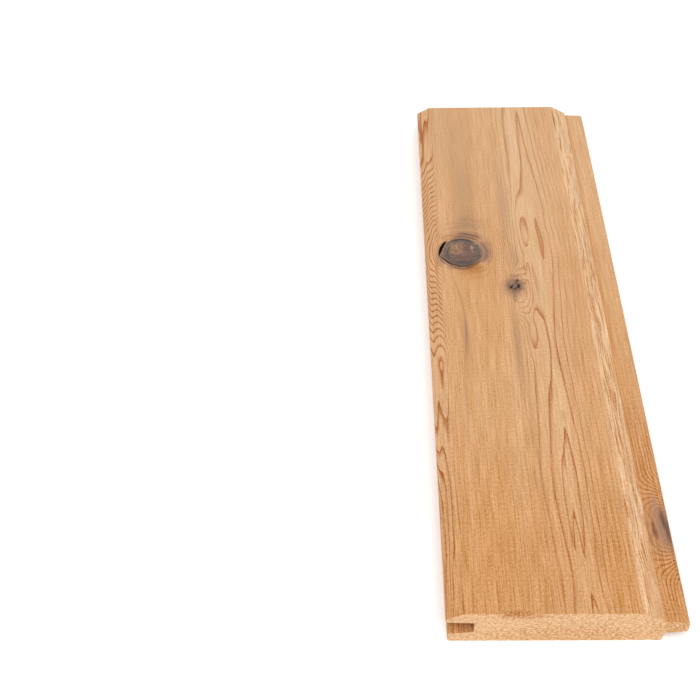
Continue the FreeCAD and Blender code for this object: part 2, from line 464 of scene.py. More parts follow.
# The push at the middle of a branch, as a share of the way from it, and how fast it fades outside.
PUSH = -0.85
PUSH_FADES = 3.0
from_branch = {}
for name, (branch_across, branch_along, reach, drawn, lean) in BRANCHES.items():
    aside = add(tree, "Math", depth, -lean, across, operation="MULTIPLY_ADD")
    here = add(tree, "CombineXYZ", aside, along, 0.0)
    here = add(tree, "VectorMath", here, (branch_across, branch_along, 0), operation="SUBTRACT")
    from_branch[name] = here
    near = add(tree, "VectorMath", here, (1, 1 / drawn, 1), operation="MULTIPLY")
    near = add(tree, "VectorMath", near, operation="LENGTH")
    near = add(tree, "Math", reach, near, operation="DIVIDE", use_clamp=True)
    push = add(tree, "Math", near, PUSH_FADES, operation="POWER")
    push = add(tree, "Math", push, PUSH, operation="MULTIPLY")
    sideways = add(tree, "SeparateXYZ", here)
    flow = add(tree, "Math", sideways, push, flow, operation="MULTIPLY_ADD")
print("grain parted round", len(BRANCHES), "branches")

# %% [markdown]
# Parts of the pattern follow lines that are drawn through a few points, such as the crown of
# the arches. One function bends a curve node through such points. Another makes a soft patch: an
# oval whose height fades to nothing at its rim, for swells in the rings, stains and tints. Noise would
# need no such work, but it puts nothing where the real board has it.


# %% Lines and patches by hand
def bend(curve, points):
    """Bends a curve node's line through points, with no clipping, because the points are in millimetres."""
    mapping = curve.node.mapping
    mapping.use_clip = False
    mapping.curves[0].points[0].location = points[0]
    mapping.curves[0].points[1].location = points[-1]
    for point in points[1:-1]:
        mapping.curves[0].points.new(*point)
    mapping.update()
    return curve


def soft_patch(space, middle, half_size, height, core=0.0):
    """An oval patch in a space of millimetres: full height inside its core, none outside its rim."""
    centre = [at / half for at, half in zip(middle, half_size)]
    patch = add(tree, "VectorMath", space, [1 / half for half in half_size], operation="MULTIPLY")
    patch = add(tree, "VectorMath", patch, centre, operation="DISTANCE")
    return add(tree, "MapRange", patch, 1.0, core, 0.0, height, interpolation_type="SMOOTHSTEP")


print("made two helpers, one for lines and one for soft patches")

# %% [markdown]
# The rings are arched, with their crown near the middle of the board. The crown's line and its
# level change along the board, because a log is never a perfect cone, and that draws the pointed
# arches on the face. The usual way, a set of round cylinders, gives arches that are all alike.

# %% Growth rings
# Along the board, and the place of the crown across it.
CROWN_LINE = (
    (0, 52.4), (30, 52.6), (60, 53.4), (85, 54.2), (100, 53.6), (107, 54.3), (140, 53.6),
    (180, 52.8), (228, 52.7), (262, 52.5), (318, 54.0),
)
# Along the board, and the height of the rings at the crown.
CROWN_LEVEL = (
    (0, 0.06), (2.5, 0.0), (25, -0.25), (50, -0.48), (71, -0.78), (90, -0.97), (100, -1.02), (105, -1.02),
    (120, -1.0), (135, -0.85), (150, -0.65), (180, -0.3), (200, -0.5), (222, -0.9), (232, -1.1),
    (245, -1.38), (262, -1.5), (280, -1.3), (294, -1.02), (302, -0.97), (318, -1.2),
)
# Across from the crown, and how many rings lie under the face there.
RING_ARCH = (
    (-62, 30.6), (-40, 18.3), (-25, 9.8), (-16, 4.6), (-13.5, 3.1), (-11.5, 2.2), (-8.9, 1.3),
    (-5.5, 0.75), (-2.8, 0.46), (-1.7, 0.28), (0, 0.0), (1.8, 0.29), (2.9, 0.53), (4.9, 1.1),
    (7.4, 2.1), (9.6, 3.1), (14, 5.3), (20, 8.5), (26.5, 12.3), (36, 20.0),
)
crown = bend(add(tree, "FloatCurve", 1.0, along), CROWN_LINE)
level = bend(add(tree, "FloatCurve", 1.0, along), CROWN_LEVEL)
from_crown = add(tree, "Math", flow, crown, operation="SUBTRACT")
arch = bend(add(tree, "FloatCurve", 1.0, from_crown), RING_ARCH)
rings = add(tree, "Math", depth, level, operation="ADD")
rings = add(tree, "Math", rings, arch, operation="ADD")
print("rings arched through", len(RING_ARCH), "points")

# %% [markdown]
# The rings of a log are never even. They swell and sink, and they dome over each knot, so that the
# planed face cuts closed loops and tight tips out of them. Noise would make loops too, but at places
# of its own. So each swell is a soft patch, set where the photograph shows one, that moves the rings.

# %% Swells in the rings
# How far a swell reaches down into the board, in millimetres.
SWELL_DEPTH = 40
# Place across and along, half width and half length in millimetres, and the height in rings.
SWELLS = (
    (46.6, 46, 4.4, 28, 0.2),
    (46.6, 102, 6.0, 36, -1.2),
    (47.8, 109, 3.2, 17, -0.4),
    (54.4, 110, 3.4, 22, -0.22),
    (41.5, 118, 5.0, 24, -1.2),
    (40.0, 147, 10.0, 25, -6.5),
    (46.0, 141, 4.2, 22, -0.9),
    (44.8, 173, 4.0, 22, -1.35),
    (49.4, 184, 2.2, 24, 0.3),
    (47.0, 131, 2.2, 14, -1.1),
    (45.9, 131.5, 0.7, 3.5, 0.9),
    (49.5, 154, 3.0, 16, -0.28),
    (44.5, 262, 6.0, 75, 0.45),
    (51.4, 300, 1.6, 48, 0.4),
    (49.5, 285, 2.0, 60, -0.45),
    (54.0, 322, 2.6, 14, -0.3),
    (8.0, 116, 24, 78, -14.0),
    (26.0, 118, 18, 30, 2.4),
    (-6.0, 300, 14, 110, -7.0),
    (90.0, 274, 17, 30, -15.0),
    (83.4, 277, 3.0, 11, -1.5),
)
for swell_across, swell_along, half_width, half_length, height in SWELLS:
    swell = soft_patch(place, (swell_across, swell_along, 0), (half_width, half_length, SWELL_DEPTH), height)
    rings = add(tree, "Math", rings, swell, operation="ADD")
print("rings swollen in", len(SWELLS), "places")

# %% [markdown]
# The groove's bevel cuts the rings at a very flat angle, so small waves in the grain turn its lines
# to zigzags. Slow noise that is drawn out along the grain makes these waves. A zigzag could be drawn
# by hand, but it would look drawn.

# %% Waves in the grain by the groove
# Waves to a millimetre across, along and down: about 3 mm wide and 60 mm long.
GROOVE_WAVES = (0.3, 0.016, 0.3)
# The waves' height in rings on the lip. They fade and end at these places across, in millimetres.
WAVE_HEIGHT = 2.2
WAVES_FADE = 4.0
WAVES_END = 11.0
waves = add(tree, "VectorMath", place, GROOVE_WAVES, operation="MULTIPLY")
waves = add(tree, "TexNoise", waves, 1.0, 0.0)
by_groove = add(tree, "MapRange", across, WAVES_FADE, WAVES_END, WAVE_HEIGHT, 0.0)
rings = add(tree, "Math", waves, by_groove, rings, operation="MULTIPLY_ADD")
print("rings waved by the groove, with", len(tree.nodes), "nodes so far")

# %% [markdown]
# A year's ring is pale and soft at first, then turns to a thin, hard, red-brown line that ends at
# once where the next year starts. A wave texture would give lines that are as soft on both sides, so
# the ring's number is cut instead: its whole part is the year, and the rest is the season.

# %% Dark lines of late growth
# The share of the year at which its dark line ends.
LINE_END = 0.97
# How far a patch of the face reaches down into the board, in millimetres.
SHALLOW = 12
year = add(tree, "Math", rings, operation="FLOOR")
season = add(tree, "Math", rings, operation="FRACT")
# Across from the lip, and the share of the year at which its dark line starts.
LINE_START = (
    (0, 0.5), (8, 0.6), (36, 0.6), (43, 0.62), (47, 0.68), (57, 0.68), (62, 0.64), (70, 0.6),
    (80, 0.4), (89, 0.4),
)
# Where the line fills out the tip of an arch or a loop: across, along, half sizes, and how much earlier
# in the year it starts.
FULL_TIPS = (
    (54.4, 110, 2.6, 20, 0.4),
    (47.9, 99, 3.0, 11, 0.3),
    (45.0, 179, 2.4, 9, 0.3),
    (52.6, 229, 3.0, 9, 0.4),
    (46.2, 131.5, 2.6, 8, 0.4),
)
starts = bend(add(tree, "FloatCurve", 1.0, across), LINE_START)
for tip_across, tip_along, half_width, half_length, earlier in FULL_TIPS:
    tip = soft_patch(place, (tip_across, tip_along, 0), (half_width, half_length, SHALLOW), earlier)
    starts = add(tree, "Math", starts, tip, operation="SUBTRACT")
late = add(tree, "MapRange", season, starts, LINE_END, 0.0, 1.0, interpolation_type="SMOOTHSTEP")
ends = add(tree, "MapRange", season, LINE_END, 1.0, 1.0, 0.0)
late = add(tree, "Math", late, ends, operation="MULTIPLY")
print("dark lines made, fuller at", len(FULL_TIPS), "tips")

# %% [markdown]
# The lines show most on the arches in the middle of the face, round the knots and on the bevel by the
# groove, and least where the rings stand upright. Some years are stronger than others. One strength
# for all would be simpler, but the wood would look printed. So two lines set it, across the
# board and along its tongue, and each year draws a strength of its own.

# %% How strongly the lines show
# Where the bevel ends and the tongue starts, across from the lip.
SHOULDER = 79.45
# Across from the lip, and how strongly the lines show.
LINE_STRENGTH = (
    (0, 1.2), (3, 1.3), (6, 1.0), (8, 0.3), (10, 0.1), (12, 0.06), (30, 0.06), (33, 0.12), (36, 0.28),
    (41, 0.5), (45, 1), (58, 1), (62, 0.55), (70, 0.35), (73, 0.4), (79, 0.4), (81, 1), (89, 1),
)
# Along the board, and how strongly the lines show on the tongue.
ON_TONGUE = ((0, 0.12), (205, 0.12), (235, 0.7), (250, 1), (293, 1), (318, 0.45))
shown = bend(add(tree, "FloatCurve", 1.0, across), LINE_STRENGTH)
# The lines come out again where they bend round the right side of the large knot.
beside_knot = soft_patch(place, (35.0, 117, 0), (11.0, 36, SHALLOW), 0.8)
shown = add(tree, "Math", shown, beside_knot, operation="ADD")
off_tongue = add(tree, "Math", across, SHOULDER, operation="LESS_THAN")
by_tongue_knot = bend(add(tree, "FloatCurve", 1.0, along), ON_TONGUE)
shown_here = add(tree, "Math", off_tongue, by_tongue_knot, operation="MAXIMUM")
strong_year = add(tree, "TexWhiteNoise", year, noise_dimensions="1D")
strong_year = add(tree, "MapRange", strong_year, 0.0, 1.0, 0.75, 1.0)
# Towards the far end they are fainter, but not on the bevel by the groove.
to_far_end = add(tree, "MapRange", along, 30, 190, 0.72, 1.0)
on_lip = add(tree, "Math", across, 7.0, operation="LESS_THAN")
to_far_end = add(tree, "Math", to_far_end, on_lip, operation="MAXIMUM")
line = add(tree, "Math", late, shown, operation="MULTIPLY")
line = add(tree, "Math", line, to_far_end, operation="MULTIPLY")
line = add(tree, "Math", line, shown_here, operation="MULTIPLY")
line = add(tree, "Math", line, strong_year, operation="MULTIPLY")
print("lines weighed, with", len(tree.nodes), "nodes so far")

# %% [markdown]
# Between the lines the wood is not one colour. Broad bands follow the grain, soft clouds cross it,
# and the middle of the face is paler than its edges, while painted shade darkens the tongue in the corner
# against the shoulder. One colour under the lines would look painted, so a number for the depth of colour
# and this shade is gathered first, and then mixes a pale tint and a deep one.

# %% Bands and clouds
# Across from the lip, and how much deeper or paler the wood is there. The jump at 79.6 and its fall to
# 81.5 are painted shade on the tongue, in the corner against the shoulder.
TONE_AND_CORNER_SHADE = (
    (0, 0.3), (8, 0.3), (16, 0.4), (30, 0.38), (40, 0.2), (46, 0.05), (55, 0.04), (60, 0.22),
    (68, 0.38), (71, 0.32), (73, 0.25), (79.2, 0.25), (79.6, 0.7), (81.5, 0.46), (89, 0.4),
)
# Along the board, and how much deeper the wood is there.
DEPTH_ALONG = (
    (0, 0.1), (40, 0.12), (80, 0.16), (120, 0.25), (175, 0.3), (230, 0.32), (262, 0.47), (290, 0.6),
    (318, 0.66),
)
# Waves to a millimetre across, along and down: bands 5 mm wide and 170 long, clouds 20 mm and 50.
BANDS = (0.22, 0.006, 0.22)
CLOUDS = (0.05, 0.02, 0.05)
bands = add(tree, "VectorMath", place, BANDS, operation="MULTIPLY")
bands = add(tree, "TexNoise", bands, 1.0, 2.0)
bands = add(tree, "MapRange", bands, 0.3, 0.7, -0.16, 0.2)
to_near_end = bend(add(tree, "FloatCurve", 1.0, along), DEPTH_ALONG)
tone_and_corner_shade = bend(add(tree, "FloatCurve", 1.0, across), TONE_AND_CORNER_SHADE)
tone_and_corner_shade = add(tree, "Math", tone_and_corner_shade, bands, operation="ADD")
deeper_tongue = add(tree, "MapRange", along, 90, 200, -0.1, 0.13)
on_tongue = add(tree, "Math", across, SHOULDER, operation="GREATER_THAN")
tone_and_corner_shade = add(tree, "Math", deeper_tongue, on_tongue, tone_and_corner_shade, operation="MULTIPLY_ADD")
tone_and_corner_shade = add(tree, "Math", tone_and_corner_shade, to_near_end, operation="ADD", use_clamp=True)
clouds = add(tree, "VectorMath", place, CLOUDS, operation="MULTIPLY")
clouds = add(tree, "TexNoise", clouds, 1.0, 2.0)
clouds = add(tree, "MapRange", clouds, 0.3, 0.7, 0.98, 1.02)
# The deep tint here also carries the painted shade in the corner at the tongue's root.
tint = add(tree, "Mix", tone_and_corner_shade, colour("E2B98F"), colour("CE955E"), data_type="RGBA")
tint = add(tree, "VectorMath", tint, clouds, operation="SCALE")
tint = add(tree, "Mix", line, tint, colour("AE6A34"), data_type="RGBA")
print("wood tinted, with", len(tree.nodes), "nodes so far")

# %% [markdown]
# The moulder's head tore the bevel on the tongue's side, where it met the grain at a bad angle.
# The torn patches end in lobes down the slope. Their edge could be drawn by hand, but it has no form
# worth copying, so a slow noise moves it up and down the bevel.

# %% Torn lobes on the bevel by the tongue
# Waves to a millimetre across, along and down: the streaks wander over 8 mm by 25, the lobes over 10 by 29,
# and the streaks themselves are half a millimetre wide and 20 mm long.
STREAK_WANDER = (0.12, 0.04, 0.12)
LOBES = (0.1, 0.035, 0.1)
TORN_STREAKS = (1.7, 0.05, 0.5)
# Across from the lip: where the torn wood starts and where all is torn, and the ends of short and long lobes.
TORN_STARTS = 70.9
TORN_FULL = 72.2
LOBES_SHORT = 75.0
LOBES_LONG = 80.5
# The depth of the bevel's foot.
BEVEL_FOOT = -4.7
on_bevel = add(tree, "MapRange", across, TORN_STARTS, TORN_FULL, 0.0, 1.0, interpolation_type="SMOOTHSTEP")
short_of_tongue = add(tree, "Math", across, SHOULDER, operation="LESS_THAN")
near_top = add(tree, "Math", depth, BEVEL_FOOT, operation="GREATER_THAN")
on_bevel = add(tree, "Math", on_bevel, short_of_tongue, operation="MULTIPLY")
on_bevel = add(tree, "Math", on_bevel, near_top, operation="MULTIPLY")
wander = add(tree, "VectorMath", place, STREAK_WANDER, operation="MULTIPLY")
wander = add(tree, "TexNoise", wander, 1.0, 1.0)
wander = add(tree, "CombineXYZ", add(tree, "Math", wander, 4.0, operation="MULTIPLY"), 0.0, 0.0)
torn = add(tree, "VectorMath", place, wander, operation="ADD")
torn = add(tree, "VectorMath", torn, TORN_STREAKS, operation="MULTIPLY")
torn = add(tree, "TexNoise", torn, 1.0, 2.0, 0.7)
# Towards the far end more of the streaks are pale.
paler_far = add(tree, "MapRange", along, 0.0, 110.0, 0.05, 0.0)
torn = add(tree, "Math", torn, paler_far, operation="ADD")
lobes = add(tree, "VectorMath", place, LOBES, operation="MULTIPLY")
lobes = add(tree, "TexNoise", lobes, 1.0, 1.0, 0.5)
lobes = add(tree, "MapRange", lobes, 0.35, 0.65, LOBES_SHORT, LOBES_LONG)
lobes = add(tree, "Math", lobes, add(tree, "MapRange", along, 230, 310, 0.0, 2.0), operation="SUBTRACT")
inside_lobe = add(tree, "Math", lobes, across, operation="SUBTRACT")
inside_lobe = add(tree, "MapRange", inside_lobe, -0.2, 0.3, 0.35, 0.9, interpolation_type="SMOOTHSTEP")
inside_lobe = add(tree, "Math", inside_lobe, on_bevel, operation="MULTIPLY")
print("torn lobes laid down the bevel, with", len(tree.nodes), "nodes so far")

# %% [markdown]
# Torn fibres scatter the light, so they are pale streaks with thin red-brown lines between them. The
# cut gouges have a real depth, but they are too few for that, so the same noise sets both colours: the
# pale one where it is high, and the red one along a single level, as a map draws one height.

# %% Pale streaks and red lines
# The level of the noise that the red lines follow.
RED_LEVEL = 0.37
pale = add(tree, "MapRange", torn, 0.4, 0.54, 0.0, 1.0, interpolation_type="SMOOTHSTEP")
torn_tint = add(tree, "Mix", pale, colour("D2945A"), colour("F2C99F"), data_type="RGBA")
tint = add(tree, "Mix", inside_lobe, tint, torn_tint, data_type="RGBA")
pale = add(tree, "Math", pale, inside_lobe, operation="MULTIPLY")
red = add(tree, "Math", torn, RED_LEVEL, operation="SUBTRACT")
red = add(tree, "Math", red, operation="ABSOLUTE")
red = add(tree, "MapRange", red, 0.015, 0.05, 0.7, 0.0, interpolation_type="SMOOTHSTEP")
red = add(tree, "Math", red, inside_lobe, operation="MULTIPLY")
tint = add(tree, "Mix", red, tint, colour("BE7A42"), data_type="RGBA")
print("torn fibres tinted, with", len(tree.nodes), "nodes so far")

# %% [markdown]
# Fine fibres streak the wood lengthwise. The real fibres are a few hundredths of a millimetre wide,
# too fine to show, so they are drawn half a millimetre wide. The rays of the wood and the planer's
# cutters cross them with short dashes and a faint ripple, two millimetres apart. Fibres change the
# light more than the hue, so they add the same step to each screen colour, which in linear light is
# a larger step in red than in blue.

# %% Fibres and the planer's ripple
# The ripple's pitch in millimetres, and the step in linear red, green and blue.
PLANER_PITCH = 2.2
FIBRE_STEP = (0.9, 0.62, 0.41)
# Waves to a millimetre across, along and down: fibres half a millimetre wide and 20 mm long, dashes 1 mm.
FIBRES = (1.9, 0.05, 1.9)
DASHES = (0.9, 1.2, 0.9)
fibres = add(tree, "VectorMath", place, FIBRES, operation="MULTIPLY")
fibres = add(tree, "TexNoise", fibres, 1.0, 1.0, 0.6)
dashes = add(tree, "VectorMath", place, DASHES, operation="MULTIPLY")
dashes = add(tree, "TexNoise", dashes, 1.0, 1.0, 0.6)
ripple = add(tree, "Math", along, 2 * math.pi / PLANER_PITCH, operation="MULTIPLY")
ripple = add(tree, "Math", ripple, operation="SINE")
ripple = add(tree, "Math", ripple, 0.01, -0.5, operation="MULTIPLY_ADD")
grain = add(tree, "Math", dashes, 0.4, ripple, operation="MULTIPLY_ADD")
grain = add(tree, "Math", fibres, 0.6, grain, operation="MULTIPLY_ADD")
# The near half of the board is rougher.
nearer = add(tree, "MapRange", along, 140.0, 280.0, 0.7, 0.98)
grain = add(tree, "Math", grain, nearer, operation="MULTIPLY")
grain = add(tree, "CombineXYZ", grain, grain, grain)
tint = add(tree, "VectorMath", grain, FIBRE_STEP, tint, operation="MULTIPLY_ADD")
print("fibres drawn, with a ripple every", PLANER_PITCH, "mm")

# %% [markdown]
# A thin streak of grey-brown stain curves down from the large knot and fades. A row of patches could
# follow it, but they would show as beads. So one line gives its place across, and another
# gives its strength along.

# %% A streak of smoke
# Along the board, and the streak's place across, then along the board, and its strength.
STREAK_LINE = ((130, 10.6), (137, 12.2), (150, 14.6), (164, 16.0), (180, 15.4), (197, 13.6), (210, 13.0))
STREAK_SHOWN = ((0, 0), (126, 0), (140, 0.3), (185, 0.3), (208, 0), (318, 0))
streak = bend(add(tree, "FloatCurve", 1.0, along), STREAK_LINE)
streak = add(tree, "Math", streak, across, operation="SUBTRACT")
streak = add(tree, "Math", streak, operation="ABSOLUTE")
streak = add(tree, "MapRange", streak, 0.1, 0.8, 1.0, 0.0, interpolation_type="SMOOTHSTEP")
shown = bend(add(tree, "FloatCurve", 1.0, along), STREAK_SHOWN)
stain = add(tree, "Math", streak, shown, operation="MULTIPLY")
print("streak drawn through", len(STREAK_LINE), "points")

# %% [markdown]
# More of the same stain runs up and down the grain from the knots. A noise would scatter it over the
# board, so each stain is a long soft patch in its place, broken up by the fibres that streak the wood.

# %% Smoky stains
# Place across and along, half width and half length in millimetres, and the strength.
STAINS = (
    (18.0, 36, 16.0, 60, 0.2),
    (20.0, 76, 9.0, 40, 0.3),
    (20.0, 96, 8.0, 16, 0.3),
    (39.5, 82, 5.0, 44, 0.35),
    (16.0, 176, 2.8, 20, 0.45),
    (13.6, 216, 1.0, 34, 0.35),
    (38.0, 182, 2.8, 40, 0.5),
    (40.6, 246, 1.6, 56, 0.3),
    (41.5, 124, 4.0, 16, 0.4),
    (53.0, 222, 2.4, 5, 0.3),
    # This row lies along the check on the far edge, and darkens the crack.
    (71.9, 14, 0.6, 12, 1.0),
    (86.0, 278, 5.0, 16, 0.4),
)
for stain_across, stain_along, half_width, half_length, strength in STAINS:
    patch = soft_patch(place, (stain_across, stain_along, 0), (half_width, half_length, SHALLOW), strength)
    stain = add(tree, "Math", stain, patch, operation="ADD")
broken = add(tree, "MapRange", fibres, 0.3, 0.65, 0.3, 1.1)
stain = add(tree, "Math", stain, broken, operation="MULTIPLY", use_clamp=True)
tint = add(tree, "Mix", stain, tint, colour("8A6E5C"), data_type="RGBA")
print("wood stained in", len(STAINS), "places")

# %% [markdown]
# The wood round the large knot grew round a branch. Its outline is uneven, and noise moves the distance
# from the knot's middle to make it so. A second noise changes quickly outwards and slowly round, which
# gives swirls. A plain noise would give spots, and no wood grows in spots.

# %% Swirls round the large knot
# Half the knot's width and length in millimetres, how far its outline strays, and how fine the swirls are.
KNOT_HALF_WIDTH = 9.7
KNOT_HALF_LENGTH = 9.9
STRAY = 1.8
SWIRLS_ROUND = (0.1, 0.1, 0.1)
SWIRLS_OUT = 10.0
from_knot = from_branch["large"]
uneven = add(tree, "TexNoise", from_knot, 0.2, 2.0).node.outputs["Color"]
uneven = add(tree, "VectorMath", uneven, (0.5, 0.5, 0.5), operation="SUBTRACT")
uneven = add(tree, "VectorMath", uneven, STRAY, operation="SCALE")
uneven = add(tree, "VectorMath", uneven, from_knot, operation="ADD")
disc = add(tree, "VectorMath", uneven, (1 / KNOT_HALF_WIDTH, 1 / KNOT_HALF_LENGTH, 0), operation="MULTIPLY")
disc = add(tree, "VectorMath", disc, operation="LENGTH")
swirl_round = add(tree, "VectorMath", from_knot, SWIRLS_ROUND, operation="MULTIPLY")
swirl_out = add(tree, "CombineXYZ", 0.0, 0.0, add(tree, "Math", disc, SWIRLS_OUT, operation="MULTIPLY"))
swirl = add(tree, "TexNoise", add(tree, "VectorMath", swirl_round, swirl_out, operation="ADD"), 1.0, 2.0)
swirl = add(tree, "MapRange", swirl, 0.36, 0.56, 0.35, 1.0)
print("large knot is", 2 * KNOT_HALF_WIDTH, "mm wide")

# %% [markdown]
# Resin tints the wood below the large knot orange, and smoke darkens its far side. One ring of dark
# wood all round would be the usual short cut, but no two sides of this knot are alike. So each tint is
# a soft patch of its own, broken up by the swirls.

# %% Tints round the large knot
# Place from the knot's middle, half width and half length, strength and colour of each soft tint.
AROUND_KNOT = (
    (3.0, -19.0, 13.0, 10.0, 0.4, "8C6E5C"),
    (-5.0, -11.0, 6.5, 3.6, 0.65, "B2763F"),
    (3.0, -12.0, 11.0, 5.0, 0.75, "8C6856"),
    (-10.0, 4.5, 3.4, 8.0, 0.6, "94705F"),
    (11.5, -1.0, 4.5, 13.0, 0.8, "96725F"),
    (4.5, 11.5, 9.0, 5.0, 0.75, "AE7036"),
    (4.5, 15.0, 9.0, 6.0, 0.6, "BE844A"),
    (-1.0, 10.4, 9.0, 2.8, 0.85, "6E5042"),
)
for tint_aside, tint_along, half_width, half_length, strength, shade in AROUND_KNOT:
    patch = soft_patch(from_knot, (tint_aside, tint_along, 0), (half_width, half_length, 1), strength, 0.3)
    patch = add(tree, "Math", patch, swirl, operation="MULTIPLY")
    tint = add(tree, "Mix", patch, tint, colour(shade), data_type="RGBA")
print("wood round the large knot tinted in", len(AROUND_KNOT), "places")

# %% [markdown]
# A knot is the branch itself, cut across. The large one is dead and mauve-brown, with a few grey rings
# near its rim. A ramp from the middle to the rim holds these colours. Rings alone could be a wave, but
# a ramp lets each have its own width. Finer rings, bent by noise, run over all of it.

# %% The heart of the large knot
# How fine the mottle is, in blotches to a millimetre, and the rings' closeness and how far it bends them.
MOTTLE = 0.55
FINE_RINGS = 34.0
RINGS_BENT = 14.0
heart = add(tree, "ValToRGB", disc)
stops = heart.node.color_ramp.elements
stops[0].position = 0.0
stops[0].color = colour("806556")
stops[1].position = 1.0
stops[1].color = colour("5E4A3C")
for position, shade in (
    (0.5, "7C5F51"),
    (0.68, "745F53"),
    (0.74, "5C4E47"),
    (0.78, "806C5D"),
    (0.83, "54473F"),
    (0.88, "86705F"),
    (0.95, "766152"),
):
    stops.new(position).color = colour(shade)
mottle = add(tree, "TexNoise", from_knot, MOTTLE, 3.0, 0.65)
knot_rings = add(tree, "Math", disc, FINE_RINGS, operation="MULTIPLY")
knot_rings = add(tree, "Math", mottle, RINGS_BENT, knot_rings, operation="MULTIPLY_ADD")
knot_rings = add(tree, "Math", knot_rings, operation="SINE")
knot_rings = add(tree, "MapRange", knot_rings, -1.0, 1.0, 0.9, 1.08)
knot_tint = add(tree, "VectorMath", heart, knot_rings, operation="SCALE")
print("heart coloured in", len(stops), "steps from the middle to the rim")

# %% [markdown]
# Inside the knot lie a tan heart, a dark spot beside it and a nearly black lower edge. A ramp has the
# same colour all round, so these are soft patches again, and the mottle breaks them up.

# %% Tints inside the large knot
# Place from the knot's middle, half width and half length, strength and colour of each soft tint.
INSIDE_KNOT = (
    (-2.2, -3.0, 6.4, 6.0, 0.9, "A07B5C"),
    (2.4, -2.2, 3.4, 4.4, 0.85, "664B45"),
    (5.0, -3.4, 1.3, 2.4, 0.7, "A98C78"),
    (7.0, -1.0, 2.0, 5.0, 0.7, "6A5E58"),
    (0.5, 3.6, 8.0, 3.0, 0.6, "7A5C52"),
    (1.5, 7.2, 6.0, 1.8, 0.9, "443A38"),
)
for tint_aside, tint_along, half_width, half_length, strength, shade in INSIDE_KNOT:
    patch = soft_patch(from_knot, (tint_aside, tint_along, 0), (half_width, half_length, 1), strength, 0.25)
    blotch = add(tree, "MapRange", mottle, 0.36, 0.58, 0.4, 1.05)
    patch = add(tree, "Math", patch, blotch, operation="MULTIPLY")
    knot_tint = add(tree, "Mix", patch, knot_tint, colour(shade), data_type="RGBA")
print("knot tinted inside in", len(INSIDE_KNOT), "places")

# %% [markdown]
# The planer's cutters left fine lines across the hard heart, and its lower half is darker. The lines
# could be grooves in the mesh, but they are far shallower than a face is wide. So a noise that is drawn
# out across the board lightens and darkens the knot in lines.

# %% Scored lines in the large knot
# Waves to a millimetre across, along and down: about 8 mm long across the board and under 1 mm apart.
SCORES = (0.12, 1.3, 1)
scored = add(tree, "VectorMath", from_knot, SCORES, operation="MULTIPLY")
scored = add(tree, "TexNoise", scored, 1.0, 2.0, 0.6)
scored = add(tree, "MapRange", scored, 0.3, 0.7, 0.74, 1.24)
knot_tint = add(tree, "VectorMath", knot_tint, scored, operation="SCALE")
mottle = add(tree, "MapRange", mottle, 0.35, 0.65, 0.8, 1.34)
knot_tint = add(tree, "VectorMath", knot_tint, mottle, operation="SCALE")
lower_half = add(tree, "SeparateXYZ", from_knot).node.outputs[1]
lower_half = add(tree, "MapRange", lower_half, 1.2, 2.0, 0.0, 0.35)
knot_tint = add(tree, "Mix", lower_half, knot_tint, colour("5E4A46"), data_type="RGBA")
in_knot = add(tree, "MapRange", disc, 0.94, 1.06, 1.0, 0.0, interpolation_type="SMOOTHSTEP")
tint = add(tree, "Mix", in_knot, tint, knot_tint, data_type="RGBA")
print("knot scored and laid into the wood, with", len(tree.nodes), "nodes so far")

# %% [markdown]
# Bark and grown-over wood lie round the knot's rim in thin arcs, each on one side of it. Whole rings
# would be simpler, but they would close round the knot. So each arc is a ring that only shows inside a
# soft patch.

# %% Arcs round the large knot
# How far out and half the thickness, both in radii of the knot, then the middle and the half sizes, in
# millimetres, of the patch that shows the arc, its strength and its colour.
RIM_ARCS = (
    (0.84, 0.1, -8.0, -1.0, 5.0, 8.0, 0.75, "675850"),
    (0.69, 0.07, -7.0, -2.0, 5.0, 7.0, 0.85, "483D38"),
    (0.86, 0.08, 8.0, 0.0, 4.0, 9.0, 0.6, "5E524C"),
    (0.93, 0.12, 1.0, -10.0, 11.0, 5.0, 0.95, "433B38"),
    (1.07, 0.07, 3.0, -11.0, 12.0, 6.0, 0.8, "8F7666"),
    (1.17, 0.09, 4.0, -12.0, 10.0, 6.0, 0.9, "64493F"),
    (1.27, 0.06, 4.0, -13.0, 10.0, 6.0, 0.6, "A97E5E"),
    (1.38, 0.13, 6.0, -13.5, 9.0, 6.0, 0.85, "745246"),
    (1.06, 0.08, 10.0, -1.0, 6.0, 13.0, 0.9, "9A7868"),
    (1.18, 0.1, 11.5, -1.0, 6.0, 14.0, 0.9, "805F56"),
    (1.32, 0.08, 12.5, -1.0, 5.0, 13.0, 0.5, "A67C66"),
    (0.98, 0.1, -3.0, 9.0, 12.0, 6.0, 0.95, "46342D"),
    (1.12, 0.1, -9.0, 6.0, 8.0, 9.0, 0.8, "80605A"),
    (1.06, 0.12, 6.0, 9.0, 7.0, 6.0, 0.9, "7E4A26"),
    (1.16, 0.08, -9.0, -6.0, 7.0, 9.0, 0.6, "9C6A44"),
)
for radius, thickness, side_aside, side_along, half_width, half_length, strength, shade in RIM_ARCS:
    side = soft_patch(from_knot, (side_aside, side_along, 0), (half_width, half_length, 1), strength, 0.4)
    arc = add(tree, "Math", disc, radius, operation="SUBTRACT")
    arc = add(tree, "Math", arc, operation="ABSOLUTE")
    arc = add(tree, "MapRange", arc, thickness, 0.0, 0.0, 1.0, interpolation_type="SMOOTHSTEP")
    arc = add(tree, "Math", arc, side, operation="MULTIPLY")
    tint = add(tree, "Mix", arc, tint, colour(shade), data_type="RGBA")
print("rim drawn in", len(RIM_ARCS), "arcs")

# %% [markdown]
# The groove's walls get painted shade: a dark brown, darker than the face, as if shade stood in the
# deep slot. A second material could cover those walls, but its edge would be hard. So one patch, as long as
# the whole board, fades out towards the lips.

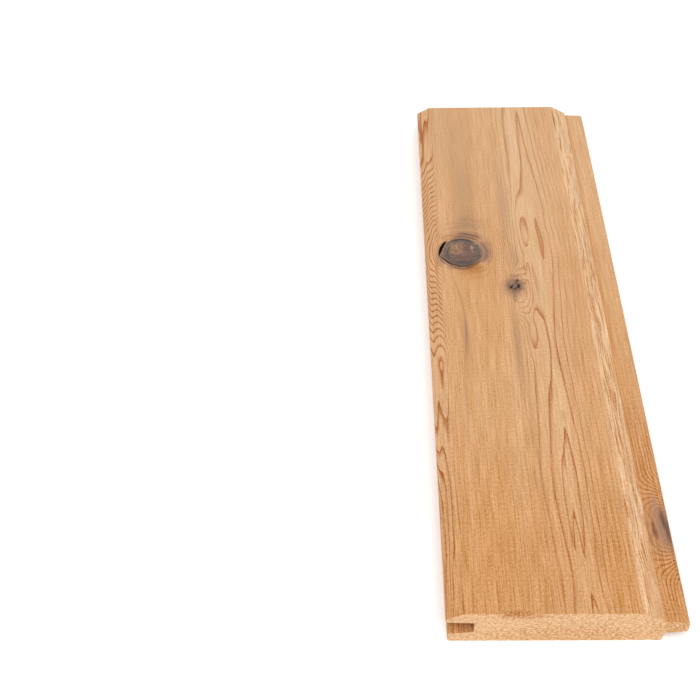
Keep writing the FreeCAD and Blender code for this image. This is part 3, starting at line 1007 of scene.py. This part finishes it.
# %% Painted shade in the groove
# The groove's middle and the patch's half sizes, across, along and down, in millimetres.
GROOVE_MIDDLE = (7.5, HALF_LENGTH, -8.9)
GROOVE_REACH = (9.5, 4000, 4.4)
# Painted shade: the groove's walls get a dark brown, as if shade filled the deep slot.
groove_painted_shade = soft_patch(place, GROOVE_MIDDLE, GROOVE_REACH, 0.6, 0.45)
tint = add(tree, "Mix", groove_painted_shade, tint, colour("7A4014"), data_type="RGBA")
print("groove darkened round", GROOVE_MIDDLE)

# %% [markdown]
# The gaps round the large knot are coloured nearly black, from just below the face down. The walls of the
# gaps could be picked out face by face, but their depth alone tells them from the face.

# %% Nearly black gaps round the large knot
# Depths in millimetres, down from the face, how far out in radii of the knot, and the end of the bevel.
BLACK_STARTS = -0.04
BLACK_FULL = -0.15
BLACK_ENDS = -3.2
BLACK_REACH = 1.4
BEVEL_ENDS = 6.35
in_gap = add(tree, "MapRange", depth, BLACK_STARTS, BLACK_FULL, 0.0, 1.0)
above_groove = add(tree, "Math", depth, BLACK_ENDS, operation="GREATER_THAN")
by_knot = add(tree, "Math", disc, BLACK_REACH, operation="LESS_THAN")
off_bevel = add(tree, "Math", across, BEVEL_ENDS, operation="GREATER_THAN")
in_gap = add(tree, "Math", in_gap, above_groove, operation="MULTIPLY")
in_gap = add(tree, "Math", in_gap, by_knot, operation="MULTIPLY")
in_gap = add(tree, "Math", in_gap, off_bevel, operation="MULTIPLY")
# The walls of the gaps round the large knot turn nearly black here.
tint = add(tree, "Mix", in_gap, tint, colour("1C130F"), data_type="RGBA")
print("gaps blackened, with", len(tree.nodes), "nodes so far")

# %% [markdown]
# The small knot and the one in the tongue are sound and hard. They are blotched dark brown and mauve,
# and darken the wood round them. The tongue's knot is cut through by the board's edge, so its layers
# show as long streaks. A ramp from the middle out would make them round, so both are patches again,
# blotched by a noise at the scale of a millimetre.

# %% The small knots
# For each: blotches to a millimetre across, along and down, then the place from its middle, half width and
# half length, strength and colour of each tint.
SMALL_KNOTS = {
    "small": (
        (0.8, 0.7, 1),
        (0.0, 0.5, 8.0, 10.0, 0.75, "A0785C"),
        (-0.4, 6.5, 1.5, 7.0, 0.7, "866A58"),
        (0.8, -7.0, 4.0, 1.6, 0.6, "94705E"),
        (0.0, -0.2, 5.2, 6.2, 0.95, "77594A"),
        (1.5, -3.8, 1.3, 1.5, 0.9, "4A3834"),
        (4.4, -1.8, 2.0, 1.2, 0.8, "9C6A4C"),
        (0.3, 0.6, 3.6, 3.0, 0.95, "4E3E3A"),
        (-1.4, 0.7, 1.3, 1.4, 0.95, "2E272B"),
        (1.9, 0.1, 1.0, 1.9, 0.98, "281B1B"),
        (-0.7, 0.9, 0.9, 0.8, 0.75, "958680"),
        (0.0, 0.2, 0.9, 0.8, 0.75, "A09088"),
        (0.6, -0.6, 0.9, 0.8, 0.7, "947F76"),
        (-1.2, -2.2, 0.9, 1.4, 0.8, "A98C74"),
        (-0.1, -3.2, 1.4, 1.0, 0.8, "A0684C"),
        (0.7, -2.2, 0.9, 1.3, 0.8, "6E4236"),
    ),
    "tongue": (
        (1.6, 0.16, 1),
        (-3.2, -1.0, 6.5, 19.0, 0.7, "B4845F"),
        (-1.2, -4.0, 2.2, 18.0, 0.7, "AC8872"),
        (1.4, 8.0, 2.0, 7.0, 0.5, "8E6852"),
        (0.7, -2.0, 3.6, 13.0, 0.95, "986E58"),
        (0.1, -4.5, 1.2, 7.0, 0.9, "6A4A3C"),
        (1.4, 1.0, 1.2, 8.0, 0.9, "604A42"),
        (-0.5, 1.0, 0.6, 8.0, 0.8, "A5826E"),
        (-3.9, 0.0, 1.2, 6.0, 0.9, "7C4C38"),
        (-3.2, 2.4, 0.9, 4.0, 0.7, "8E5E44"),
    ),
}
for name, (drawn, *tints) in SMALL_KNOTS.items():
    from_knot = from_branch[name]
    blotch = add(tree, "VectorMath", from_knot, drawn, operation="MULTIPLY")
    blotch = add(tree, "TexNoise", blotch, 1.0, 2.0, 0.65)
    blotch = add(tree, "MapRange", blotch, 0.36, 0.54, 0.5, 1.0)
    for tint_aside, tint_along, half_width, half_length, strength, shade in tints:
        middle = (tint_aside, tint_along, 0)
        patch = soft_patch(from_knot, middle, (half_width, half_length, 1), strength, 0.35)
        patch = add(tree, "Math", patch, blotch, operation="MULTIPLY")
        tint = add(tree, "Mix", patch, tint, colour(shade), data_type="RGBA")
print("small knots made:", ", ".join(SMALL_KNOTS))

# %% [markdown]
# The sawn ends show the fibres end on, as pale gold wood with fine grit. A second material could be put
# on the end faces, but the chips along their edges would need it too. So the one material asks which way
# a face looks and how near the end it is.

# %% Sawn ends
# How far in from the end the end grain reaches, in millimetres, and grit to a millimetre.
END_REACH = 2.0
GRIT = (1.0, 0.5, 1.5)
facing = add(tree, "NewGeometry").node.outputs["True Normal"]
end_on = add(tree, "SeparateXYZ", facing).node.outputs[1]
end_on = add(tree, "Math", end_on, operation="ABSOLUTE")
end_on = add(tree, "MapRange", end_on, 0.5, 0.8, 0.0, 1.0)
from_middle = add(tree, "Math", along, HALF_LENGTH, operation="SUBTRACT")
from_middle = add(tree, "Math", from_middle, operation="ABSOLUTE")
at_end = add(tree, "Math", from_middle, HALF_LENGTH - END_REACH, operation="GREATER_THAN")
end_on = add(tree, "Math", end_on, at_end, operation="MULTIPLY")
grit = add(tree, "VectorMath", place, GRIT, operation="MULTIPLY")
grit = add(tree, "TexNoise", grit, 1.0, 2.0, 0.7)
grit = add(tree, "Math", grit, 0.5, operation="SUBTRACT")
grit = add(tree, "CombineXYZ", grit, grit, grit)
end_tint = add(tree, "VectorMath", grit, FIBRE_STEP, colour("E4B98B")[:3], operation="MULTIPLY_ADD")
print("ends tinted", END_REACH, "mm deep")

# %% [markdown]
# Rust-brown dots and short dashes follow the rings on the ends. They crowd in the lower half, along
# the tongue and under part of the top edge. Each ring could be drawn as a line, but the saw breaks them
# up. So the dots are a noise that takes the ring's number as one of its directions.

# %% Dots that follow the rings
# Dots to a millimetre across, and dots to a ring.
DOTS_ACROSS = 0.8
DOTS_TO_A_RING = 1.3
dots = add(tree, "Math", across, DOTS_ACROSS, operation="MULTIPLY")
dots = add(tree, "CombineXYZ", dots, add(tree, "Math", rings, DOTS_TO_A_RING, operation="MULTIPLY"), 3.0)
dots = add(tree, "TexNoise", dots, 1.0, 2.0, 0.7)
# Across, along and depth of where the dots crowd, half sizes, and how much more of them there is.
CROWDED = (
    (45.0, 317.5, -14.0, 44.0, 40.0, 9.0, 0.07),
    (28.0, 317.5, -1.2, 13.0, 40.0, 2.6, 0.12),
    (84.0, 317.5, -9.0, 9.0, 40.0, 6.0, 0.1),
)
for crowd_across, crowd_along, crowd_depth, half_width, half_length, half_height, more in CROWDED:
    middle = (crowd_across, crowd_along, crowd_depth)
    patch = soft_patch(place, middle, (half_width, half_length, half_height), more, 0.3)
    dots = add(tree, "Math", dots, patch, operation="ADD")
dots = add(tree, "MapRange", dots, 0.53, 0.64, 0.0, 0.85)
end_tint = add(tree, "Mix", dots, end_tint, colour("BD7E40"), data_type="RGBA")
tint = add(tree, "Mix", end_on, tint, end_tint, data_type="RGBA")
print("dots crowd in", len(CROWDED), "places on the near end")

# %% [markdown]
# The saw frayed a stretch of the near top edge, and dust browned the torn ends of the fibres. The bites
# there are cut already. Single fibres could be modelled too, but they are finer than the picture shows,
# so a noise breaks a brown patch into tufts.

# %% Frayed edge
# The middle and half sizes of the frayed stretch in millimetres, and tufts to a millimetre.
FRAYED_MIDDLE = (25.5, 2 * HALF_LENGTH, 0)
FRAYED_REACH = (8.0, 2.4, 2.0)
TUFTS = (0.9, 0.7, 0.9)
frayed = soft_patch(place, FRAYED_MIDDLE, FRAYED_REACH, 1.0, 0.4)
tufts = add(tree, "VectorMath", place, TUFTS, operation="MULTIPLY")
tufts = add(tree, "TexNoise", tufts, 1.0, 1.0)
tufts = add(tree, "MapRange", tufts, 0.46, 0.54, 0.0, 0.85)
frayed = add(tree, "Math", frayed, tufts, operation="MULTIPLY")
tint = add(tree, "Mix", frayed, tint, colour("A86A30"), data_type="RGBA")
print("edge frayed over", 2 * FRAYED_REACH[0], "mm")

# %% [markdown]
# Planed cedar is dull, with a soft sheen where the late growth is hard. Its fibres stand up by a
# few hundredths of a millimetre, and torn fibres by more. The knots are denser and a little glossier.
# Relief as fine as that would take millions of faces, so bump gives it to the light alone.

# %% Surface
# Heights in millimetres, then the roughness of soft and of hard wood, and how much glossier a knot is.
FIBRE_HEIGHT = 0.05
LINE_HEIGHT = 0.03
TORN_HEIGHT = 0.1
SOFT_ROUGHNESS = 0.66
HARD_ROUGHNESS = 0.54
KNOT_GLOSS = -0.1
relief = add(tree, "Math", fibres, FIBRE_HEIGHT, operation="MULTIPLY")
relief = add(tree, "Math", line, LINE_HEIGHT, relief, operation="MULTIPLY_ADD")
relief = add(tree, "Math", pale, TORN_HEIGHT, relief, operation="MULTIPLY_ADD")
bump = add(tree, "Bump", 1.0, MM, None, relief)
dullness = add(tree, "MapRange", line, 0.0, 1.0, SOFT_ROUGHNESS, HARD_ROUGHNESS)
dullness = add(tree, "Math", in_knot, KNOT_GLOSS, dullness, operation="MULTIPLY_ADD")
shader = add(tree, "BsdfPrincipled", tint)
shader.node.inputs["Specular IOR Level"].default_value = 0.25
tree.links.new(dullness, shader.node.inputs["Roughness"])
tree.links.new(bump, shader.node.inputs["Normal"])
add(tree, "OutputMaterial", shader)
print("wood grown with", len(tree.nodes), "nodes")

# %% [markdown]
# The board gets its one material, and takes the place of the CAD solid: it rides on the same body,
# and the solid is hidden. The cuts take wood away but add none.

# %% Finish
board.data.materials.clear()
board.data.materials.append(wood)
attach(board, "root")
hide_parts("cedar_board")
print("board finished in", wood.name)
